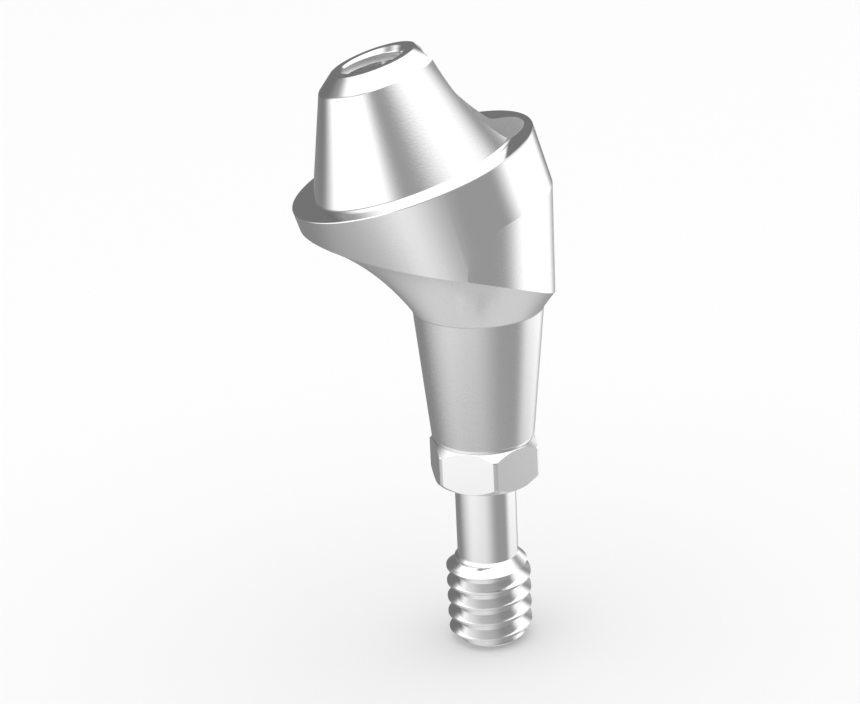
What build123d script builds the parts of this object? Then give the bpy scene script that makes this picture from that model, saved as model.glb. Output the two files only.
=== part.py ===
from build123d import *

import os
from math import ceil, cos, radians, sin, tan

# An angled multi-unit dental abutment with the screw that clamps it to its implant.
# Millimetres. Z is the implant axis and points out of the jaw. The origin is the
# centre of the end face of the hexagon, and the cone leans towards -X.

# Angled upper part
TILT_DEG = 17.0
PLATFORM_R = 2.40
PLATFORM_X = -1.166
PLATFORM_ABOVE_TAPER = 2.93
CONE_BASE_R = 1.98
CONE_SHOULDER_R = 1.16
CONE_SHOULDER_H = 1.88
CONE_TOP_R = 0.83
CONE_TOP_H = 2.14
CONE_ROOT_FILLET = 0.09

# Prosthetic screw hole in the top of the cone, at its tapping size
TOP_HOLE_R = 0.57
TOP_HOLE_DEPTH = 1.90
TOP_HOLE_MOUTH_R = 0.645
TOP_HOLE_MOUTH_DEPTH = 0.10
DRILL_POINT_DEG = 118.0

# Collar and flare under the platform
TRIM_R = 2.42
TRIM_X = -0.943
FLARE_R = 5.44
FLARE_START_DEG = 56.5
FLARE_END_DEG = 22.0

# Tapered shank that wedges in the implant
TAPER_TOP_R = 1.28
TAPER_HALF_DEG = 5.5
TAPER_LENGTH = 2.66

# Groove and anti-rotation hexagon
GROOVE_R = 0.98
GROOVE_HEIGHT = 0.07
HEX_ACROSS_FLATS = 2.00
HEX_CORNER_R = 1.13
HEX_HEIGHT = 0.87
HEX_CHAMFER = 0.14

# Abutment screw
SCREW_HEAD_R = 0.95
SCREW_HEAD_LENGTH = 1.60
SCREW_HEAD_CHAMFER = 0.21
SCREW_SHANK_R = 0.785
SCREW_SHANK_LENGTH = 4.24
SCREW_NECK_R = 0.615
SCREW_NECK_LENGTH = 1.58
THREAD_CREST_R = 0.86
THREAD_DEPTH = 0.19
THREAD_PITCH = 0.35
THREAD_ANGLE_DEG = 60.0
THREAD_START_DEG = 37.0
THREAD_LENGTH = 1.88
THREAD_TIP_R = 0.62
DRIVE_ACROSS_FLATS = 0.90
DRIVE_DEPTH = 1.00
DRIVE_MOUTH_R = 0.50

# Fits between the screw and the abutment
HEAD_CLEARANCE = 0.05
THREAD_CLEARANCE = 0.03
SEAT_ABOVE_TAPER = 0.55

# Places that follow from the sizes above
GROOVE_Z = HEX_HEIGHT
TAPER_END_Z = GROOVE_Z + GROOVE_HEIGHT
TAPER_TOP_Z = TAPER_END_Z + TAPER_LENGTH
TAPER_END_R = TAPER_TOP_R - TAPER_LENGTH * tan(radians(TAPER_HALF_DEG))
PLATFORM_Z = TAPER_TOP_Z + PLATFORM_ABOVE_TAPER
SEAT_Z = TAPER_TOP_Z + SEAT_ABOVE_TAPER
CHANNEL_R = SCREW_HEAD_R + HEAD_CLEARANCE
BORE_R = THREAD_CREST_R + THREAD_CLEARANCE
SCREW_TOP_Z = SEAT_Z + SCREW_HEAD_LENGTH
SHANK_END_Z = SEAT_Z - SCREW_SHANK_LENGTH
THREAD_START_Z = SHANK_END_Z - SCREW_NECK_LENGTH
SCREW_TIP_Z = THREAD_START_Z - THREAD_LENGTH
CLEAR = 2 * (PLATFORM_R + CONE_TOP_H)
PIECES_PER_TURN = 3

# The tilted frame stands on the platform, with its Z along the cone's axis
TILTED = Plane(
    origin=(PLATFORM_X, 0, PLATFORM_Z),
    x_dir=(cos(radians(TILT_DEG)), 0, sin(radians(TILT_DEG))),
    z_dir=(-sin(radians(TILT_DEG)), 0, cos(radians(TILT_DEG))),
)


def turned(points):
    """Revolve a closed outline of (radius, height) points about Z."""
    return revolve(Plane.XZ * make_face(Polyline(*points, close=True)), Axis.Z)


def rod(radius, low, high):
    """A cylinder about Z between two heights."""
    return Pos(0, 0, low) * Cylinder(
        radius, high - low, align=(Align.CENTER, Align.CENTER, Align.MIN)
    )


def hexagon(across_flats, low, high):
    """A hexagonal prism about Z with two corners on the Y axis."""
    outline = RegularPolygon(across_flats / 2, 6, major_radius=False, rotation=30)
    return extrude(Pos(0, 0, low) * outline, high - low)


def cone():
    """The conical seat, turned about the tilted axis, with a fillet at its root."""
    skirt_r = CONE_BASE_R + 2 * CONE_ROOT_FILLET
    outline = make_face(
        Polyline(
            (0, -CONE_ROOT_FILLET),
            (skirt_r, -CONE_ROOT_FILLET),
            (skirt_r, 0),
            (CONE_BASE_R, 0),
            (CONE_SHOULDER_R, CONE_SHOULDER_H),
            (CONE_TOP_R, CONE_TOP_H),
            (0, CONE_TOP_H),
            close=True,
        )
    )
    root = outline.vertices().sort_by_distance((CONE_BASE_R, 0))[0]
    outline = fillet(root, CONE_ROOT_FILLET)
    return TILTED * revolve(Plane.XZ * outline, Axis.Z)


def collar():
    """A tilted cylinder under the platform, flared below and trimmed upright on the +X side."""
    disc = TILTED * rod(PLATFORM_R, -CLEAR, 0)
    trim = Pos(TRIM_X, 0, 0) * rod(TRIM_R, TAPER_TOP_Z, TAPER_TOP_Z + CLEAR)
    trim += Pos(TRIM_X, 0, TAPER_TOP_Z) * Box(
        CLEAR, 2 * TRIM_R, CLEAR, align=(Align.MAX, Align.CENTER, Align.MIN)
    )
    start = (TAPER_TOP_R, TAPER_TOP_Z)
    heading = (cos(radians(FLARE_START_DEG)), sin(radians(FLARE_START_DEG)))
    curve = JernArc(start, heading, FLARE_R, FLARE_END_DEG - FLARE_START_DEG)
    edge = curve @ 1
    top = TAPER_TOP_Z + CLEAR
    rest = Polyline(edge, (edge.X, top), (0, top), (0, TAPER_TOP_Z), start)
    bowl = revolve(Plane.XZ * make_face([curve, rest]), Axis.Z)
    return disc & trim & bowl


def connection():
    """The taper, the groove and the hexagon that enter the implant."""
    taper = turned(
        [
            (0, TAPER_END_Z),
            (TAPER_END_R, TAPER_END_Z),
            (TAPER_TOP_R, TAPER_TOP_Z),
            (0, TAPER_TOP_Z),
        ]
    )
    groove = rod(GROOVE_R, GROOVE_Z, TAPER_END_Z)
    envelope = turned(
        [
            (0, 0),
            (HEX_CORNER_R - HEX_CHAMFER, 0),
            (HEX_CORNER_R, HEX_CHAMFER),
            (HEX_CORNER_R, HEX_HEIGHT - HEX_CHAMFER),
            (HEX_CORNER_R - HEX_CHAMFER, HEX_HEIGHT),
            (0, HEX_HEIGHT),
        ]
    )
    return taper + groove + (hexagon(HEX_ACROSS_FLATS, 0, HEX_HEIGHT) & envelope)


def screw_passage():
    """The channel for the screw head, its seat and the bore for the thread."""
    return rod(BORE_R, -CLEAR, SEAT_Z) + rod(CHANNEL_R, SEAT_Z, PLATFORM_Z + CLEAR)


def top_hole():
    """The prosthetic screw hole, drilled down the cone's axis."""
    floor = CONE_TOP_H - TOP_HOLE_DEPTH
    point = TOP_HOLE_R / tan(radians(DRILL_POINT_DEG / 2))
    drill = turned(
        [
            (0, floor - point),
            (TOP_HOLE_R, floor),
            (TOP_HOLE_R, CONE_TOP_H - TOP_HOLE_MOUTH_DEPTH),
            (TOP_HOLE_MOUTH_R, CONE_TOP_H),
            (0, CONE_TOP_H),
        ]
    )
    return TILTED * drill


def abutment_body():
    """The one-piece abutment, milled from titanium."""
    return collar() + cone() + connection() - screw_passage() - top_hole()


def thread_ridges():
    """The helical ridge, longer than the thread, in short lengths that join reliably."""
    buried_r = THREAD_CREST_R - 1.25 * THREAD_DEPTH
    height = THREAD_CREST_R - buried_r
    crest = THREAD_PITCH / 8
    flank = height * tan(radians(THREAD_ANGLE_DEG / 2))
    rise = THREAD_PITCH / PIECES_PER_TURN
    path = Helix(THREAD_PITCH, rise, buried_r)
    section = Plane(path @ 0, x_dir=(1, 0, 0), z_dir=path % 0) * make_face(
        Polyline(
            (0, -crest / 2 - flank),
            (height, -crest / 2),
            (height, crest / 2),
            (0, crest / 2 + flank),
            close=True,
        )
    )
    ridge = sweep(section, path=path, is_frenet=True)
    start = SCREW_TIP_Z - THREAD_PITCH / 2
    count = ceil((THREAD_LENGTH + THREAD_PITCH) / rise)
    return [
        Pos(0, 0, start + i * rise) * Rot(0, 0, THREAD_START_DEG + i * 360 / PIECES_PER_TURN) * ridge
        for i in range(count)
    ]


def abutment_screw():
    """The screw, seated on its ledge, with a hexagonal drive in its head."""
    root_r = THREAD_CREST_R - THREAD_DEPTH
    run_out = THREAD_CREST_R - SCREW_NECK_R
    point = THREAD_CREST_R - THREAD_TIP_R
    envelope = turned(
        [
            (0, SCREW_TIP_Z),
            (THREAD_TIP_R, SCREW_TIP_Z),
            (THREAD_CREST_R, SCREW_TIP_Z + point),
            (THREAD_CREST_R, THREAD_START_Z - run_out),
            (SCREW_NECK_R, THREAD_START_Z),
            (0, THREAD_START_Z),
        ]
    )
    thread = (rod(root_r, SCREW_TIP_Z, THREAD_START_Z) + thread_ridges()) & envelope
    blank = turned(
        [
            (0, THREAD_START_Z),
            (SCREW_NECK_R, THREAD_START_Z),
            (SCREW_NECK_R, SHANK_END_Z),
            (SCREW_SHANK_R, SHANK_END_Z),
            (SCREW_SHANK_R, SEAT_Z),
            (SCREW_HEAD_R, SEAT_Z),
            (SCREW_HEAD_R, SCREW_TOP_Z - SCREW_HEAD_CHAMFER),
            (SCREW_HEAD_R - SCREW_HEAD_CHAMFER, SCREW_TOP_Z),
            (0, SCREW_TOP_Z),
        ]
    )
    socket = hexagon(DRIVE_ACROSS_FLATS, SCREW_TOP_Z - DRIVE_DEPTH, SCREW_TOP_Z)
    drive_half = DRIVE_ACROSS_FLATS / 2
    mouth = turned(
        [
            (0, SCREW_TOP_Z - DRIVE_MOUTH_R),
            (DRIVE_MOUTH_R, SCREW_TOP_Z),
            (0, SCREW_TOP_Z),
        ]
    )
    floor = turned(
        [
            (0, SCREW_TOP_Z - DRIVE_DEPTH - drive_half * tan(radians(90 - DRILL_POINT_DEG / 2))),
            (drive_half, SCREW_TOP_Z - DRIVE_DEPTH),
            (0, SCREW_TOP_Z - DRIVE_DEPTH),
        ]
    )
    return blank + thread - socket - mouth - floor


os.makedirs("parts", exist_ok=True)
NODES = {
    "abutment_body": abutment_body,
    "abutment_screw": abutment_screw,
}
for name, build in NODES.items():
    shape = build()
    shape.label = name
    print(name, "volume", round(shape.volume, 4), "solids", len(shape.solids()))
    export_step(shape, f"parts/{name}.step")
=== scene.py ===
# %% [markdown]
# An angled dental abutment with its screw seated inside, modelled for a studio product render.
# The CAD parts arrive first, as a fixed frame. They are exact in size but coarse in their facets,
# so each gets a finely turned mesh that takes its place, and the CAD part stays for physics.

import math

import bmesh
import bpy
from mathutils import Matrix, Vector


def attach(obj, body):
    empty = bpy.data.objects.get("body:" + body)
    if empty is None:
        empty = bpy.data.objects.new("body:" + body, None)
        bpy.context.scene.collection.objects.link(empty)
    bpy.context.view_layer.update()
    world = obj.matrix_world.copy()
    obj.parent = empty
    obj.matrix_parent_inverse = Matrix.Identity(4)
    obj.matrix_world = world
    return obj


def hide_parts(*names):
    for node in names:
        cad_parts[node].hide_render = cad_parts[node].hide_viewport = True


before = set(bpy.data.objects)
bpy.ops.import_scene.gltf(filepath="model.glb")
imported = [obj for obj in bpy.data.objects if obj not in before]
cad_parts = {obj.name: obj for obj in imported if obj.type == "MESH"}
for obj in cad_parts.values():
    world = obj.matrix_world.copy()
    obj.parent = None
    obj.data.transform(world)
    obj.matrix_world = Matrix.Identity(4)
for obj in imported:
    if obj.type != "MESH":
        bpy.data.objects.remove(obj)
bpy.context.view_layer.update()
MM = 0.001
print("CAD nodes:", sorted(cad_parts))

# %% [markdown]
# These are the driving dimensions of the real parts. A turned part is easiest to think about as
# radii and heights, so nearly every size below is one or the other. The pieces are worked in
# millimetres, because that is how a machinist reads them, and each mesh is shrunk to metres at
# the very end. The upper part leans on an axis of its own, 17 degrees from the implant's.

# %% Sizes of the angled upper part
TILT_DEG = 17.0
PLATFORM_R = 2.40
PLATFORM_X = -1.166
PLATFORM_ABOVE_TAPER = 2.93
CONE_BASE_R = 1.98
CONE_SHOULDER_R = 1.16
CONE_SHOULDER_H = 1.88
CONE_TOP_R = 0.83
CONE_TOP_H = 2.14
CONE_ROOT_FILLET = 0.09
TRIM_R = 2.42
TRIM_X = -0.943
FLARE_R = 5.44
FLARE_START_DEG = 56.5
FLARE_END_DEG = 22.0
print("platform", 2 * PLATFORM_R, "mm across, leaning", TILT_DEG, "degrees")

# %% [markdown]
# The connection is the part that enters the implant: a taper that wedges in it, and under that a
# hexagon that stops it from turning. Heights are counted up from the hexagon's end.

# %% Sizes of the connection
TAPER_TOP_R = 1.28
TAPER_HALF_DEG = 5.5
TAPER_LENGTH = 2.66
GROOVE_R = 0.98
GROOVE_HEIGHT = 0.07
HEX_ACROSS_FLATS = 2.00
HEX_CORNER_R = 1.13
HEX_HEIGHT = 0.87
HEX_CHAMFER = 0.14
TAPER_END_Z = HEX_HEIGHT + GROOVE_HEIGHT
TAPER_TOP_Z = TAPER_END_Z + TAPER_LENGTH
TAPER_END_R = TAPER_TOP_R - TAPER_LENGTH * math.tan(math.radians(TAPER_HALF_DEG))
PLATFORM_Z = TAPER_TOP_Z + PLATFORM_ABOVE_TAPER
print("platform centre at", PLATFORM_X, round(PLATFORM_Z, 3), "mm")

# %% [markdown]
# Two holes go into the abutment. The top hole is tapped for the small screw that holds the
# bridge, and the wide one lets the abutment's own screw down to its seat.

# %% Sizes of the two holes
TOP_HOLE_R = 0.57
TOP_HOLE_DEPTH = 1.90
TOP_HOLE_MOUTH_R = 0.645
TOP_HOLE_MOUTH_DEPTH = 0.10
TOP_THREAD_R = 0.66
TOP_THREAD_PITCH = 0.30
TOP_THREAD_STOP = 0.43
SEAT_ABOVE_TAPER = 0.55
SEAT_Z = TAPER_TOP_Z + SEAT_ABOVE_TAPER
CHANNEL_R = 1.00
BORE_R = 0.89
DRILL_POINT_DEG = 118.0
print("channel", 2 * CHANNEL_R, "mm across, narrowing to", 2 * BORE_R, "mm below the seat")

# %% [markdown]
# The screw hangs from that seat: its head above, and its shank, neck and thread below.

# %% Sizes of the screw
SCREW_HEAD_R = 0.95
SCREW_HEAD_LENGTH = 1.60
SCREW_HEAD_CHAMFER = 0.21
SCREW_SHANK_R = 0.785
SCREW_SHANK_LENGTH = 4.24
SCREW_NECK_R = 0.615
SCREW_NECK_LENGTH = 1.58
THREAD_CREST_R = 0.86
THREAD_DEPTH = 0.19
THREAD_PITCH = 0.35
THREAD_LENGTH = 1.88
THREAD_TIP_R = 0.62
DRIVE_ACROSS_FLATS = 0.90
DRIVE_DEPTH = 1.00
DRIVE_MOUTH_R = 0.50
SCREW_TOP_Z = SEAT_Z + SCREW_HEAD_LENGTH
SHANK_END_Z = SEAT_Z - SCREW_SHANK_LENGTH
THREAD_START_Z = SHANK_END_Z - SCREW_NECK_LENGTH
SCREW_TIP_Z = THREAD_START_Z - THREAD_LENGTH
print("the screw reaches from", round(SCREW_TIP_Z, 2), "to", round(SCREW_TOP_Z, 2), "mm")

# %% [markdown]
# Node trees are long to write out, so one small function adds a node. Each setting is either a
# property of the node, a plain value for one of its sockets, or another node's output to link in.
# Colours are written as the hex codes that a paint program shows, and turned to linear light.


# %% Helpers: colours and nodes
def linear(hex_colour):
    """A linear RGBA colour from an sRGB hex string, by the curve of the sRGB standard."""
    channels = [int(hex_colour[i : i + 2], 16) / 255 for i in (1, 3, 5)]
    lit = [c / 12.92 if c <= 0.04045 else ((c + 0.055) / 1.055) ** 2.4 for c in channels]
    return lit + [1.0]


def add(tree, kind, settings=None):
    """Add a node; a socket is named, or numbered where several share a name."""
    node = tree.nodes.new(kind)
    for key, value in (settings or {}).items():
        if isinstance(key, str) and hasattr(node, key):
            setattr(node, key, value)
        elif isinstance(value, bpy.types.NodeSocket):
            tree.links.new(node.inputs[key], value)
        else:
            node.inputs[key].default_value = value
    return node


print("a painter's middle grey reflects", round(linear("#808080")[0], 2), "of the light")

# %% [markdown]
# The metal is titanium, and what tells one surface from the next is the tool that cut it. A lathe
# leaves rings, as far apart as the tool is fed in one turn, and polishing leaves a fine grain over
# them. The rings are noise squeezed along the lathe's axis, until it changes about once a feed,
# and stretched so far across it that it hardly changes round the part. A Mapping node of the
# TEXTURE type undoes a move, so it hands the pattern the place that each point had on the lathe,
# which is what leans the rings of the upper part. The feeds are real ones, but the grain of a
# polish is only about a hundredth of a millimetre, too fine to show from where the camera stands,
# so it is drawn four times as coarse.


# %% Helper: the rings of a lathe and the grain of a polish
GRAIN = 0.04
UPRIGHT = (Vector((0, 0, 0)), 0)
ON_CONE = (Vector((PLATFORM_X, 0, PLATFORM_Z)), -TILT_DEG)


def tool_marks(tree, lathe, feed):
    """Rings a feed in mm apart about a lathe's axis, and a polisher's grain, as two heights."""
    centre, tilt = lathe
    place = add(tree, "ShaderNodeTexCoord")
    on_lathe = add(
        tree,
        "ShaderNodeMapping",
        {
            "vector_type": "TEXTURE",
            "Vector": place.outputs["Object"],
            "Location": centre * MM,
            "Rotation": (0, math.radians(tilt), 0),
            "Scale": (1, 1, feed * MM),
        },
    )
    rings = add(
        tree,
        "ShaderNodeTexNoise",
        {"Vector": on_lathe.outputs["Vector"], "Scale": 1.0, "Detail": 2.0, "Roughness": 0.6},
    )
    grain = add(
        tree,
        "ShaderNodeTexNoise",
        {
            "Vector": place.outputs["Object"],
            "Scale": 1 / (GRAIN * MM),
            "Detail": 3.0,
            "Roughness": 0.6,
        },
    )
    return rings.outputs["Fac"], grain.outputs["Fac"]


print("grain of the polish:", GRAIN, "mm")

# %% [markdown]
# A finish turns those two heights into light. Each goes through a Bump node, which tips the
# shading by the slope of the height and leaves the mesh alone, and the grain also shifts the
# roughness from point to point. Noise keeps to the middle of its range, from 0.3 to 0.7, and that
# is what is stretched over the two roughnesses of a finish. Bare titanium is a darker and warmer
# grey than the one used here, which follows the photograph.


# %% Helper: a machined finish
METAL_COLOUR = "#EBEBEB"
GRAIN_DEPTH = 0.0006
NOISE_LOW = 0.3
NOISE_HIGH = 0.7


def machined(name, lathe, feed, depth, finest, roughest):
    """Titanium with tool rings of a feed and depth in mm, between two roughnesses."""
    material = bpy.data.materials.new(name)
    material.use_nodes = True
    tree = material.node_tree
    tree.nodes.clear()
    rings, grain = tool_marks(tree, lathe, feed)
    gloss = add(
        tree,
        "ShaderNodeMapRange",
        {
            "Value": grain,
            "From Min": NOISE_LOW,
            "From Max": NOISE_HIGH,
            "To Min": finest,
            "To Max": roughest,
        },
    )
    ringed = add(
        tree,
        "ShaderNodeBump",
        {"Height": rings, "Strength": 1.0, "Distance": depth * MM},
    )
    grained = add(
        tree,
        "ShaderNodeBump",
        {
            "Height": grain,
            "Normal": ringed.outputs["Normal"],
            "Strength": 1.0,
            "Distance": GRAIN_DEPTH * MM,
        },
    )
    shader = add(
        tree,
        "ShaderNodeBsdfPrincipled",
        {
            "Base Color": linear(METAL_COLOUR),
            "Metallic": 1.0,
            "Roughness": gloss.outputs["Result"],
            "Normal": grained.outputs["Normal"],
        },
    )
    add(tree, "ShaderNodeOutputMaterial", {"Surface": shader.outputs["BSDF"]})
    return material


# %% [markdown]
# Seven finishes cover every surface: the turned stem and the finer turned cone and screw, milled
# flats, the screw's rolled thread, and inside the holes the bored and tapped walls that no polish
# reaches. Polished titanium has a roughness of about 0.1 to 0.3, and as cut it is much rougher.

# %% The finishes
# Turned and lightly polished: satin, with soft bands that run down the wall and a blurred mirror.
TURNED = machined("turned_titanium", UPRIGHT, 0.05, 0.0001, 0.20, 0.28)
# The screw is polished further, so that it turns easily: the same bands, with crisper edges.
FINE_TURNED = machined("fine_turned_titanium", UPRIGHT, 0.05, 0.0001, 0.11, 0.18)
# The cone is finest of all, about its leaning axis, because the bridge has to seat on it.
TURNED_ON_CONE = machined("turned_titanium_on_cone_axis", ON_CONE, 0.05, 0.0001, 0.10, 0.16)
# Milled flat: each side of the hexagon is one even tone, and its neighbour is another.
MILLED = machined("milled_titanium", UPRIGHT, 0.10, 0.0001, 0.10, 0.16)
# Rolled between two dies, which press the flanks bright: a fine light line on every turn.
THREADED = machined("threaded_titanium", UPRIGHT, 0.03, 0.0001, 0.10, 0.16)
# Bored and left as cut: matt, so it gathers light from all round and stays pale in the shade.
BORED = machined("bored_titanium", UPRIGHT, 0.08, 0.0005, 0.75, 0.95)
# Tapped and left as cut: matt too, with a little more sheen on the flanks.
TAPPED = machined("tapped_titanium", ON_CONE, 0.03, 0.0003, 0.60, 0.80)
print("finishes:", [material.name for material in bpy.data.materials])

# %% [markdown]
# A lathe turns a bar against a tool that follows an outline. The spin operator does the same to
# a chain of edges: it sweeps them round an axis and skins the gap between each two steps. An
# outline that starts and ends on the axis gives a closed solid. The points that land on the axis
# pile up there, so they are merged into one pole. No machined edge is perfectly sharp, so before
# the spin each real corner of the chain is bevelled by a hair, to catch a fine line of light.

# %% Helper: turn an outline into a solid
SEGMENTS = 192
EDGE_BREAK = 0.018
CORNER_DEG = 15
POLE_MERGE = 1e-5


def finished(bm, name, finish):
    """Turn a bmesh into an object of one finish, with its faces pointing outwards."""
    bmesh.ops.recalc_face_normals(bm, faces=bm.faces)
    mesh = bpy.data.meshes.new(name)
    bm.to_mesh(mesh)
    bm.free()
    mesh.materials.append(finish)
    piece = bpy.data.objects.new(name, mesh)
    bpy.context.scene.collection.objects.link(piece)
    return piece


def turned(name, outline, finish):
    """A solid of revolution about Z from (radius, height) points that begin and end on Z."""
    bm = bmesh.new()
    verts = [bm.verts.new((radius, 0, height)) for radius, height in outline]
    for pair in zip(verts, verts[1:]):
        bm.edges.new(pair)
    corners = [v for v in verts[1:-1] if v.calc_edge_angle() > math.radians(CORNER_DEG)]
    bmesh.ops.bevel(
        bm,
        geom=corners,
        offset=EDGE_BREAK,
        offset_type="OFFSET",
        affect="VERTICES",
        segments=2,
        profile=0.5,
        material=-1,
    )
    bmesh.ops.spin(
        bm,
        geom=bm.verts[:] + bm.edges[:],
        cent=(0, 0, 0),
        axis=(0, 0, 1),
        angle=math.tau,
        steps=SEGMENTS,
        use_merge=True,
    )
    bmesh.ops.remove_doubles(bm, verts=bm.verts, dist=POLE_MERGE)
    return finished(bm, name, finish)


# %% [markdown]
# The rest of the shapes come from machining cuts, and a boolean is the same idea: one solid is
# joined to another, cut away from it, or kept only where the two overlap. The exact solver
# follows curved walls that cross at odd angles, and each new face keeps the finish of the tool
# that made it. The modifier is settled into plain mesh at once, and the stray points that it
# leaves almost on top of each other are merged, so the next cut starts from a closed solid.

# %% Helpers: cut with another solid, and lean one over
MERGE = 0.0005
TILT = Matrix.Translation(ON_CONE[0]) @ Matrix.Rotation(math.radians(ON_CONE[1]), 4, "Y")


def combine(piece, other, operation):
    """Apply UNION, DIFFERENCE or INTERSECT with another solid, which is used up."""
    cut = piece.modifiers.new(operation.lower(), "BOOLEAN")
    cut.operation = operation
    cut.solver = "EXACT"
    cut.material_mode = "TRANSFER"
    cut.object = other
    settled = piece.evaluated_get(bpy.context.evaluated_depsgraph_get())
    mesh = bpy.data.meshes.new_from_object(settled)
    piece.modifiers.clear()
    bm = bmesh.new()
    bm.from_mesh(mesh)
    bmesh.ops.remove_doubles(bm, verts=bm.verts, dist=MERGE)
    bmesh.ops.dissolve_degenerate(bm, edges=bm.edges, dist=MERGE / 2)
    bm.to_mesh(mesh)
    bm.free()
    piece.data = mesh
    bpy.data.objects.remove(other)


def tilted(piece):
    """Lean a solid over, onto the platform's axis."""
    piece.data.transform(TILT)
    return piece


# %% [markdown]
# The stem is everything turned about the implant's axis: the groove, the taper that wedges in the
# implant, and the flare above it. The flare is one arc that leaves the taper steeply and opens
# out, like the bell of a trumpet. It goes on up as a plain bar, for the next cuts to shape. CLEAR
# is a length that is sure to reach past the part, for bars and cutters that have to.

# %% The stem and its flare
CLEAR = 2 * (PLATFORM_R + CONE_TOP_H)
FLARE_STEPS = 40


def arc(centre, radius, start_deg, end_deg, steps):
    """Points along an arc, from one angle to another about its centre."""
    for i in range(steps + 1):
        angle = math.radians(start_deg + (end_deg - start_deg) * i / steps)
        yield centre[0] + radius * math.cos(angle), centre[1] + radius * math.sin(angle)


flare_centre = (
    TAPER_TOP_R + FLARE_R * math.sin(math.radians(FLARE_START_DEG)),
    TAPER_TOP_Z - FLARE_R * math.cos(math.radians(FLARE_START_DEG)),
)
flare = list(
    arc(flare_centre, FLARE_R, 90 + FLARE_START_DEG, 90 + FLARE_END_DEG, FLARE_STEPS)
)
rim_r = flare[-1][0]
abutment = turned(
    "abutment",
    [
        (0, HEX_HEIGHT / 2),
        (GROOVE_R, HEX_HEIGHT / 2),
        (GROOVE_R, TAPER_END_Z),
        (TAPER_END_R, TAPER_END_Z),
        *flare,
        (rim_r, PLATFORM_Z + CLEAR),
        (0, PLATFORM_Z + CLEAR),
    ],
    TURNED,
)
print("flare opens to", round(rim_r, 2), "mm radius")

# %% [markdown]
# The collar is where the two axes meet. Its outside is a cylinder on the tilted axis, and its
# high side is turned again, upright, so that it clears the gum. Keeping only what lies inside
# both cylinders leaves the crossing ridge that shows on the front of the collar. The upright
# cylinder only cuts on the high side, so its other half is moved far out of the way.

# %% The collar
disc = turned(
    "disc",
    [(0, -CLEAR), (PLATFORM_R, -CLEAR), (PLATFORM_R, 0), (0, 0)],
    TURNED_ON_CONE,
)
combine(abutment, tilted(disc), "INTERSECT")
bm = bmesh.new()
bmesh.ops.create_cone(
    bm,
    cap_ends=True,
    segments=SEGMENTS,
    radius1=TRIM_R,
    radius2=TRIM_R,
    depth=4 * CLEAR,
)
low_side = [v for v in bm.verts if v.co.x < -EDGE_BREAK]
bmesh.ops.translate(bm, verts=low_side, vec=(-CLEAR, 0, 0))
bmesh.ops.translate(bm, verts=bm.verts, vec=(TRIM_X, 0, 0))
combine(abutment, finished(bm, "trim", TURNED), "INTERSECT")
print("collar faces:", len(abutment.data.polygons))

# %% [markdown]
# The cone that carries the bridge is turned about the tilted axis. A small arc at its foot is
# left by the round nose of the tool.

# %% The cone
FOOT_STEPS = 16
slope = math.degrees(math.atan2(CONE_SHOULDER_H, CONE_BASE_R - CONE_SHOULDER_R))
foot_reach = CONE_ROOT_FILLET * math.tan(math.radians(slope / 2))
foot_centre = (CONE_BASE_R + foot_reach, CONE_ROOT_FILLET)
foot = arc(foot_centre, CONE_ROOT_FILLET, 270, 270 - slope, FOOT_STEPS)
cone = turned(
    "cone",
    [
        (0, -CONE_ROOT_FILLET),
        (CONE_BASE_R + foot_reach, -CONE_ROOT_FILLET),
        *foot,
        (CONE_SHOULDER_R, CONE_SHOULDER_H),
        (CONE_TOP_R, CONE_TOP_H),
        (0, CONE_TOP_H),
    ],
    TURNED_ON_CONE,
)
combine(abutment, tilted(cone), "UNION")
print("cone slope", round(90 - slope, 1), "degrees from its axis")

# %% [markdown]
# The hexagon keeps the abutment from turning in the implant. It starts as a six-sided cylinder,
# and a turned blank with chamfered ends trims its corners, exactly as on a real nut.


# %% Helper: a hexagonal prism
def hexagon(across_flats, low, high):
    """A hexagonal prism about Z with two corners on the Y axis."""
    corner = across_flats / 2 / math.cos(math.radians(30))
    bm = bmesh.new()
    bmesh.ops.create_cone(
        bm,
        cap_ends=True,
        segments=6,
        radius1=corner,
        radius2=corner,
        depth=high - low,
    )
    bmesh.ops.translate(bm, verts=bm.verts, vec=(0, 0, (low + high) / 2))
    return finished(bm, "hexagon", MILLED)


# %% The hexagon
nut = hexagon(HEX_ACROSS_FLATS, 0, HEX_HEIGHT)
blank = turned(
    "blank",
    [
        (0, -HEX_CHAMFER),
        (HEX_CORNER_R - 2 * HEX_CHAMFER, -HEX_CHAMFER),
        (HEX_CORNER_R, HEX_CHAMFER),
        (HEX_CORNER_R, HEX_HEIGHT - HEX_CHAMFER),
        (HEX_CORNER_R - 2 * HEX_CHAMFER, HEX_HEIGHT + HEX_CHAMFER),
        (0, HEX_HEIGHT + HEX_CHAMFER),
    ],
    TURNED,
)
combine(nut, blank, "INTERSECT")
combine(abutment, nut, "UNION")
print("abutment faces before drilling:", len(abutment.data.polygons))

# %% [markdown]
# The screw channel runs straight down the implant's axis. It narrows to a step that the screw's
# head rests on, and because the cone leans away, it breaks out through the cone's side.

# %% The screw channel
channel = turned(
    "channel",
    [
        (0, -CLEAR),
        (BORE_R, -CLEAR),
        (BORE_R, SEAT_Z),
        (CHANNEL_R, SEAT_Z),
        (CHANNEL_R, PLATFORM_Z + CLEAR),
        (0, PLATFORM_Z + CLEAR),
    ],
    BORED,
)
combine(abutment, channel, "DIFFERENCE")
print("seat of the screw at", round(SEAT_Z, 2), "mm")

# %% [markdown]
# The top hole runs down the cone's own axis. It ends in the point that every twist drill leaves,
# and opens in a shallow countersink that helps the small screw to find its thread. The cutter
# stands a little out of the part, because a cut that ends exactly on a face is easily left open.

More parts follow.
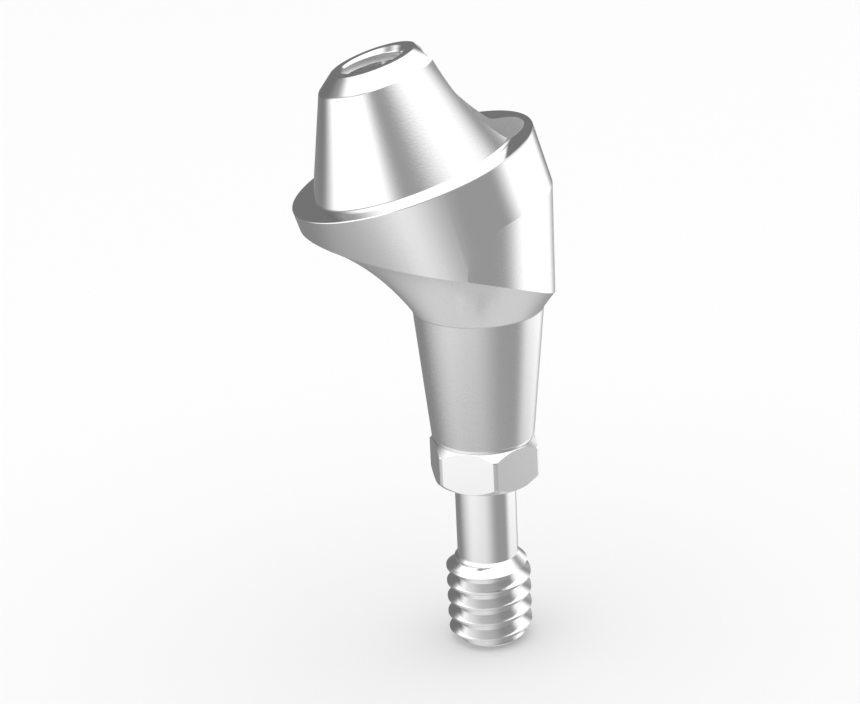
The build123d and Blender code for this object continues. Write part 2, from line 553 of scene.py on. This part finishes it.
# %% The top hole
OVERSHOOT = 1.0
hole_floor = CONE_TOP_H - TOP_HOLE_DEPTH
point_depth = TOP_HOLE_R / math.tan(math.radians(DRILL_POINT_DEG / 2))
mouth_slope = (TOP_HOLE_MOUTH_R - TOP_HOLE_R) / TOP_HOLE_MOUTH_DEPTH
drill = turned(
    "drill",
    [
        (0, hole_floor - point_depth),
        (TOP_HOLE_R, hole_floor),
        (TOP_HOLE_R, CONE_TOP_H - TOP_HOLE_MOUTH_DEPTH),
        (TOP_HOLE_MOUTH_R + mouth_slope * OVERSHOOT, CONE_TOP_H + OVERSHOOT),
        (0, CONE_TOP_H + OVERSHOOT),
    ],
    TURNED_ON_CONE,
)
combine(abutment, tilted(drill), "DIFFERENCE")
print("abutment faces before tapping:", len(abutment.data.polygons))

# %% [markdown]
# A thread is one V-shaped outline that climbs as it turns. Spin can do this too: dvec lifts each
# step a little, so the outline rises by its own height in one turn and every turn joins the one
# below it. A standard thread has flanks that meet at 60 degrees and a crest an eighth of its
# pitch wide. The ragged first and last turns are spare, and they are sliced off square and capped.
# The rod starts an odd share of a turn low, so that the slices fall between its points and never
# along them.


# %% Helper: a threaded rod
THREAD_HALF_DEG = 30
SPARE_TURNS = 3
START_TURNS_LOW = 1.53
SLICE_MERGE = 1e-6
ON_SLICE = 1e-4


def threaded_rod(name, root_r, crest_r, pitch, low, high, finish):
    """A rod with a right-hand 60 degree thread between two heights."""
    depth = crest_r - root_r
    flank = depth * math.tan(math.radians(THREAD_HALF_DEG))
    crest = pitch / 8
    root = pitch - crest - 2 * flank
    outline = [
        (root_r, 0),
        (root_r, root),
        (crest_r, root + flank),
        (crest_r, root + flank + crest),
        (root_r, pitch),
    ]
    per_turn = SEGMENTS // 2
    turns = math.ceil((high - low) / pitch) + SPARE_TURNS
    bm = bmesh.new()
    verts = [bm.verts.new((radius, 0, height)) for radius, height in outline]
    edges = [bm.edges.new(pair) for pair in zip(verts, verts[1:])]
    bmesh.ops.spin(
        bm,
        geom=verts + edges,
        cent=(0, 0, 0),
        axis=(0, 0, 1),
        dvec=(0, 0, pitch / per_turn),
        angle=math.tau * turns,
        steps=per_turn * turns,
    )
    bmesh.ops.remove_doubles(bm, verts=bm.verts, dist=MERGE)
    bmesh.ops.translate(bm, verts=bm.verts, vec=(0, 0, low - START_TURNS_LOW * pitch))
    for height, normal in ((low, (0, 0, -1)), (high, (0, 0, 1))):
        bmesh.ops.bisect_plane(
            bm,
            geom=bm.verts[:] + bm.edges[:] + bm.faces[:],
            dist=SLICE_MERGE,
            plane_co=(0, 0, height),
            plane_no=normal,
            clear_outer=True,
        )
        edges = [e for e in bm.edges if e.is_boundary]
        rim = [e for e in edges if abs(e.verts[0].co.z - height) < ON_SLICE]
        bmesh.ops.contextual_create(bm, geom=rim)
    return finished(bm, name, finish)


# %% [markdown]
# A tap is a threaded rod that cuts, so the same rod, leaned over and taken away from the hole,
# leaves the thread for the bridge's screw. Its core is a hair thinner than the hole, so that only
# the ridge cuts. It stops short of the hole's floor, as a tap has to. Lower down, the hole and the
# channel are so close that they open into each other.

# %% The thread in the top hole
TAP_CORE_PLAY = 0.02
tap = threaded_rod(
    "tap",
    TOP_HOLE_R - TAP_CORE_PLAY,
    TOP_THREAD_R,
    TOP_THREAD_PITCH,
    hole_floor + TOP_THREAD_STOP,
    CONE_TOP_H + TOP_THREAD_PITCH,
    TAPPED,
)
combine(abutment, tilted(tap), "DIFFERENCE")
print("abutment faces:", len(abutment.data.polygons))

# %% [markdown]
# The screw is turned in one go from head to neck: a plain head that rests on the seat, a shank
# that fills the bore, and a thin neck that stretches a little when the screw is tightened.

# %% The screw's head, shank and neck
screw = turned(
    "screw",
    [
        (0, THREAD_START_Z - SCREW_NECK_R / 2),
        (SCREW_NECK_R, THREAD_START_Z - SCREW_NECK_R / 2),
        (SCREW_NECK_R, SHANK_END_Z),
        (SCREW_SHANK_R, SHANK_END_Z),
        (SCREW_SHANK_R, SEAT_Z),
        (SCREW_HEAD_R, SEAT_Z),
        (SCREW_HEAD_R, SCREW_TOP_Z - SCREW_HEAD_CHAMFER),
        (SCREW_HEAD_R - SCREW_HEAD_CHAMFER, SCREW_TOP_Z),
        (0, SCREW_TOP_Z),
    ],
    FINE_TURNED,
)
print("screw head", 2 * SCREW_HEAD_R, "mm across")

# %% [markdown]
# The thread is a rod of its own. A blank with a pointed nose and a run-out trims its two ends,
# so that the ridge fades in and out, and then it is joined to the neck.

# %% The screw's thread
thread = threaded_rod(
    "thread",
    THREAD_CREST_R - THREAD_DEPTH,
    THREAD_CREST_R,
    THREAD_PITCH,
    SCREW_TIP_Z - THREAD_PITCH,
    THREAD_START_Z + THREAD_PITCH,
    THREADED,
)
nose = THREAD_CREST_R - THREAD_TIP_R
run_out = THREAD_CREST_R - SCREW_NECK_R
nose_blank = turned(
    "nose_blank",
    [
        (0, SCREW_TIP_Z),
        (THREAD_TIP_R, SCREW_TIP_Z),
        (THREAD_CREST_R + nose, SCREW_TIP_Z + 2 * nose),
        (THREAD_CREST_R + nose, THREAD_START_Z - run_out - nose),
        (SCREW_NECK_R - run_out, THREAD_START_Z + run_out),
        (0, THREAD_START_Z + run_out),
    ],
    FINE_TURNED,
)
combine(thread, nose_blank, "INTERSECT")
combine(screw, thread, "UNION")
print("screw faces before its socket:", len(screw.data.polygons))

# %% [markdown]
# The drive socket is a hexagonal hole with a drilled point below it and a small cone at its mouth
# that guides the driver in. The pilot drill is a hair thinner than the hexagon is wide, because
# two walls that only graze each other are hard for the solver.

# %% The drive socket
PILOT_SHARE = 0.98
drive_half = DRIVE_ACROSS_FLATS / 2
socket_floor = SCREW_TOP_Z - DRIVE_DEPTH
socket = hexagon(DRIVE_ACROSS_FLATS, socket_floor, SCREW_TOP_Z + OVERSHOOT)
combine(screw, socket, "DIFFERENCE")
lead_in = turned(
    "lead_in",
    [
        (0, SCREW_TOP_Z - DRIVE_MOUTH_R),
        (DRIVE_MOUTH_R + OVERSHOOT, SCREW_TOP_Z + OVERSHOOT),
        (0, SCREW_TOP_Z + OVERSHOOT),
    ],
    FINE_TURNED,
)
combine(screw, lead_in, "DIFFERENCE")
pilot = turned(
    "pilot",
    [
        (0, socket_floor - drive_half / math.tan(math.radians(DRILL_POINT_DEG / 2))),
        (drive_half * PILOT_SHARE, socket_floor),
        (drive_half * PILOT_SHARE, socket_floor + drive_half / 2),
        (0, socket_floor + drive_half / 2),
    ],
    BORED,
)
combine(screw, pilot, "DIFFERENCE")
print("screw faces:", len(screw.data.polygons))

# %% [markdown]
# Smooth shading hides the facets, but it must stop at every real edge, however shallow, because
# polished metal shows at once where two surfaces have been blended. Neighbouring facets of a
# turned wall differ by two degrees, and the shallowest real edge by far more, so five degrees
# tells them apart.

# %% Settle the meshes
SHARP_DEG = 5


def settle(piece):
    """Shrink to metres, and shade smooth between the real edges."""
    bm = bmesh.new()
    bm.from_mesh(piece.data)
    open_edges = sum(not e.is_manifold for e in bm.edges)
    bmesh.ops.scale(bm, verts=bm.verts, vec=(MM, MM, MM))
    bmesh.ops.recalc_face_normals(bm, faces=bm.faces)
    bm.to_mesh(piece.data)
    bm.free()
    piece.data.shade_smooth()
    piece.data.set_sharp_from_angle(angle=math.radians(SHARP_DEG))
    print(piece.name, "has", len(piece.data.polygons), "faces,", open_edges, "open edges")


settle(abutment)
settle(screw)

# %% [markdown]
# Each mesh takes the place of its CAD part and rides on the same body. When the screw's joint
# moves, the detailed screw moves with it.

# %% Put the pieces on their bodies
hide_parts("abutment_body")
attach(abutment, "abutment")
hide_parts("abutment_screw")
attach(screw, "screw")
print("finishes on the abutment:", [m.name for m in abutment.data.materials])

# %% [markdown]
# A polished part has hardly any look of its own: what it shows is the room. Here the room is a
# white tent lit from above, with a bright panel on either side, a darker wall behind, and a pale
# sheet low in front. A card is a soft-edged patch of sky, given by two spans and a brightness.
# Each span says which way the card faces, how far it reaches either way, and how wide its soft
# edge is: first the azimuth, which is 0 in front and 90 on the right, and then the elevation.

# %% The studio's cards
SIDES = 0.30
CARDS = {
    "ceiling": ((0, 360, 10), (90, 55, 14), 1.2),
    "pale table": ((0, 360, 10), (-90, 45, 30), 0.62),
    "pale sheet low in front": ((-45, 48, 60), (-19, 12, 16), 0.85),
    "dark wall behind": ((180, 45, 20), (10, 22, 20), 0.16),
    "dark strip low behind": ((-155, 40, 40), (-24, 8, 15), 0.22),
    "white panel on the left": ((-80, 40, 30), (0, 21, 16), 1.2),
    "white panel on the right": ((108, 33, 28), (-6, 22, 24), 1.2),
}
print("studio cards:", len(CARDS))

# %% [markdown]
# A world shader is asked for the light that comes from a direction. Two angles are worked out
# from that direction: azimuth, round the object from the front, and elevation, up from level.

# %% The studio's angles
world = bpy.data.worlds.new("studio")
bpy.context.scene.world = world
world.use_nodes = True
tree = world.node_tree
tree.nodes.clear()
direction = add(tree, "ShaderNodeTexCoord")
axes = add(tree, "ShaderNodeSeparateXYZ", {"Vector": direction.outputs["Generated"]})
front = add(tree, "ShaderNodeMath", {"operation": "MULTIPLY", 0: axes.outputs["Y"], 1: -1.0})
azimuth = add(
    tree,
    "ShaderNodeMath",
    {"operation": "ARCTAN2", 0: axes.outputs["X"], 1: front.outputs["Value"]},
)
elevation = add(tree, "ShaderNodeMath", {"operation": "ARCSINE", 0: axes.outputs["Z"]})
print("angle nodes:", len(tree.nodes))

# %% [markdown]
# The cards are painted one over the other. For each, the two angles from its centre are measured,
# and a smooth step at each edge says how much of the card covers that direction.

# %% Paint the cards
brightness = SIDES
for azimuth_span, elevation_span, level in CARDS.values():
    cover = 1.0
    for angle, span in ((azimuth, azimuth_span), (elevation, elevation_span)):
        middle, reach, softness = (math.radians(degrees) for degrees in span)
        offset = add(
            tree,
            "ShaderNodeMath",
            {"operation": "SUBTRACT", 0: angle.outputs["Value"], 1: middle},
        )
        wrapped = add(
            tree,
            "ShaderNodeMath",
            {"operation": "WRAP", 0: offset.outputs["Value"], 1: math.pi, 2: -math.pi},
        )
        away = add(
            tree, "ShaderNodeMath", {"operation": "ABSOLUTE", 0: wrapped.outputs["Value"]}
        )
        inside = add(
            tree,
            "ShaderNodeMapRange",
            {
                "interpolation_type": "SMOOTHSTEP",
                "Value": away.outputs["Value"],
                "From Min": reach + softness / 2,
                "From Max": reach - softness / 2,
            },
        )
        share = add(
            tree,
            "ShaderNodeMath",
            {"operation": "MULTIPLY", 0: cover, 1: inside.outputs["Result"]},
        )
        cover = share.outputs["Value"]
    painted = add(tree, "ShaderNodeMix", {"Factor": cover, "A": brightness, "B": level})
    brightness = painted.outputs["Result"]
print("studio nodes:", len(tree.nodes))

# %% [markdown]
# The metal mirrors the cards, but the camera sees a plain white backdrop behind the object, which
# is what the Light Path node separates. The cards are made brighter by what the metal swallows.

# %% Light the world
studio = add(
    tree,
    "ShaderNodeBackground",
    {"Color": brightness, "Strength": 1 / linear(METAL_COLOUR)[0]},
)
backdrop = add(tree, "ShaderNodeBackground", {"Color": (1, 1, 1, 1), "Strength": 1.0})
path = add(tree, "ShaderNodeLightPath")
both = add(
    tree,
    "ShaderNodeMixShader",
    {
        0: path.outputs["Is Camera Ray"],
        1: studio.outputs["Background"],
        2: backdrop.outputs["Background"],
    },
)
add(tree, "ShaderNodeOutputWorld", {"Surface": both.outputs["Shader"]})
print("world strength", round(1 / linear(METAL_COLOUR)[0], 2))

# %% [markdown]
# The floor is a plain sheet of matt white paper under the tip of the screw, which takes a soft
# shadow and has no shine. It is left out of the reflections, because in the photograph the metal
# mirrors the tent and not the table.

# %% The floor
FLOOR_R = 400
FLOOR_SEGMENTS = 96
PAPER_COLOUR = "#F2F2F2"
PAPER_ROUGHNESS = 0.9
paper = bpy.data.materials.new("white_paper")
paper.use_nodes = True
sheet = paper.node_tree.nodes["Principled BSDF"]
sheet.inputs["Base Color"].default_value = linear(PAPER_COLOUR)
sheet.inputs["Roughness"].default_value = PAPER_ROUGHNESS
bm = bmesh.new()
bmesh.ops.create_circle(bm, cap_ends=True, segments=FLOOR_SEGMENTS, radius=FLOOR_R * MM)
bmesh.ops.translate(bm, verts=bm.verts, vec=(0, 0, SCREW_TIP_Z * MM))
floor = finished(bm, "floor", paper)
floor.visible_glossy = False
print("floor", 2 * FLOOR_R, "mm across")

# %% [markdown]
# The camera stands where the photograph's did, in front of the abutment and a little to its left,
# looking down on it. A longer lens than usual shows little of the perspective, so the part keeps
# its straight sides. Light may bounce often, because it does between the walls of the holes.

# %% The camera
LOOK_AT = Vector((-0.99, 0, 2.75))
CAMERA_PLACE = Vector((-6.602, -34.493, 15.625))
CAMERA_ROLL_DEG = -2.83
LENS = 80
FAR_CLIP_M = 10
BOUNCES = 16
MIRROR_BOUNCES = 12
camera_data = bpy.data.cameras.new("camera")
camera_data.lens = LENS
camera_data.clip_start = MM
camera_data.clip_end = FAR_CLIP_M
camera = bpy.data.objects.new("camera", camera_data)
bpy.context.scene.collection.objects.link(camera)
aim = (LOOK_AT - CAMERA_PLACE).to_track_quat("-Z", "Y").to_matrix().to_4x4()
roll = Matrix.Rotation(math.radians(CAMERA_ROLL_DEG), 4, "Z")
camera.matrix_world = Matrix.Translation(CAMERA_PLACE * MM) @ aim @ roll
bpy.context.scene.camera = camera
bpy.context.scene.view_settings.view_transform = "Standard"
bpy.context.scene.cycles.max_bounces = BOUNCES
bpy.context.scene.cycles.glossy_bounces = MIRROR_BOUNCES
print("camera is", round((LOOK_AT - CAMERA_PLACE).length, 1), "mm away")
